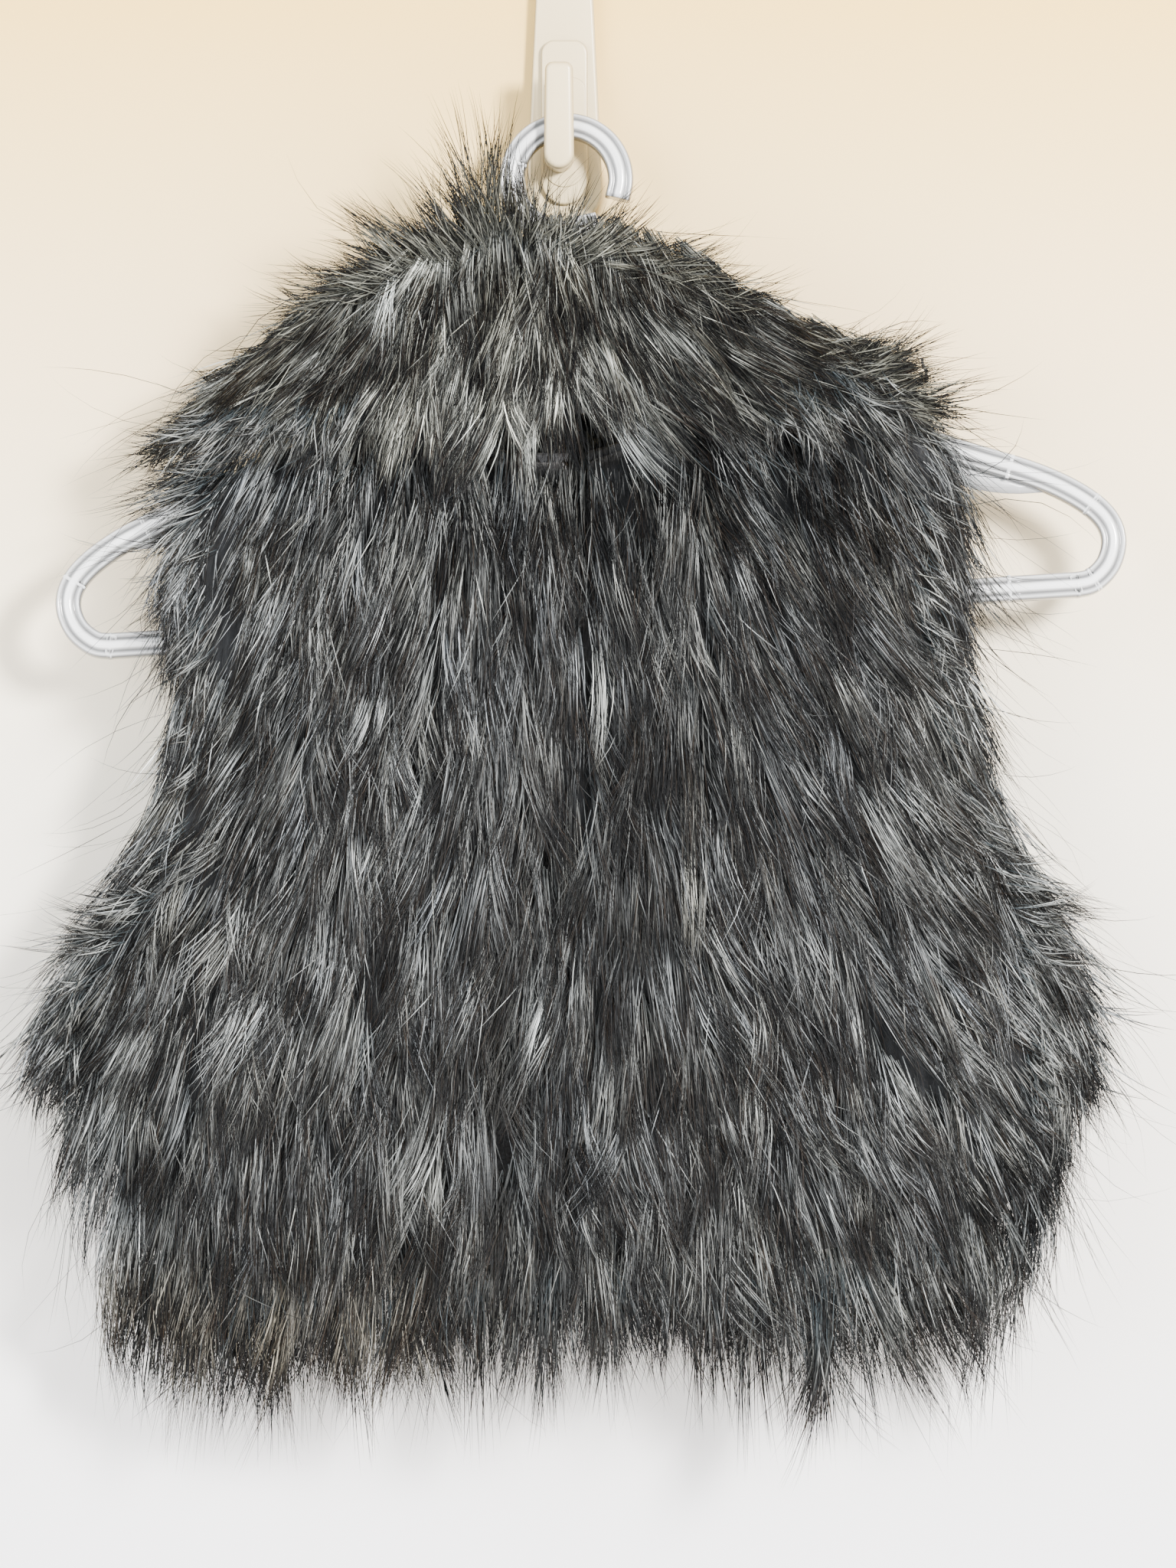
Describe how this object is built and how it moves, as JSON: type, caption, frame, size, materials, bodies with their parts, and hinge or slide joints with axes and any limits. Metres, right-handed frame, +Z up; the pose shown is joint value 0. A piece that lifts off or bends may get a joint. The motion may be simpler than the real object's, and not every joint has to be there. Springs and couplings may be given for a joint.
{
  "type": "faux fur vest on a hanger and wall hook",
  "caption": "Child's sleeveless long-pile faux fur vest with a wide turned-over collar, hung closed on a moulded hanger from an adhesive wall hook.",
  "frame": {"origin": "on the flat back of the wall hook's base, level with the seat that the hanger rests on", "axes": "+Z up, +Y into the wall, so the vest's front faces -Y; +X towards the wearer's left"},
  "size_m": [0.3581, 0.0635, 0.4629],
  "materials": {
    "fur_grey": "long grey and charcoal pile",
    "fur_dark": "dark tips of long pile",
    "fur_collar": "long lighter grey pile",
    "hanger_plastic": "glossy moulded, slightly translucent",
    "hook_plastic": "satin moulded"
  },
  "bodies": {
    "root": {"front_right": "fur_grey", "front_left": "fur_grey", "back": "fur_grey", "collar": "fur_collar", "locks_armhole_back_left": "fur_dark", "locks_armhole_back_right": "fur_dark", "locks_armhole_front_left": "fur_dark", "locks_armhole_front_right": "fur_dark", "locks_crest_left": "fur_dark", "locks_crest_right": "fur_dark", "locks_hem_back": "fur_dark", "locks_hem_left": "fur_dark", "locks_hem_right": "fur_dark", "locks_side_left": "fur_dark", "locks_side_right": "fur_dark", "locks_collar_edge": "fur_dark", "hanger_arms": "hanger_plastic", "hanger_bar": "hanger_plastic", "hanger_hook": "hanger_plastic", "wall_hook": "hook_plastic"}
  },
  "joints": []
}
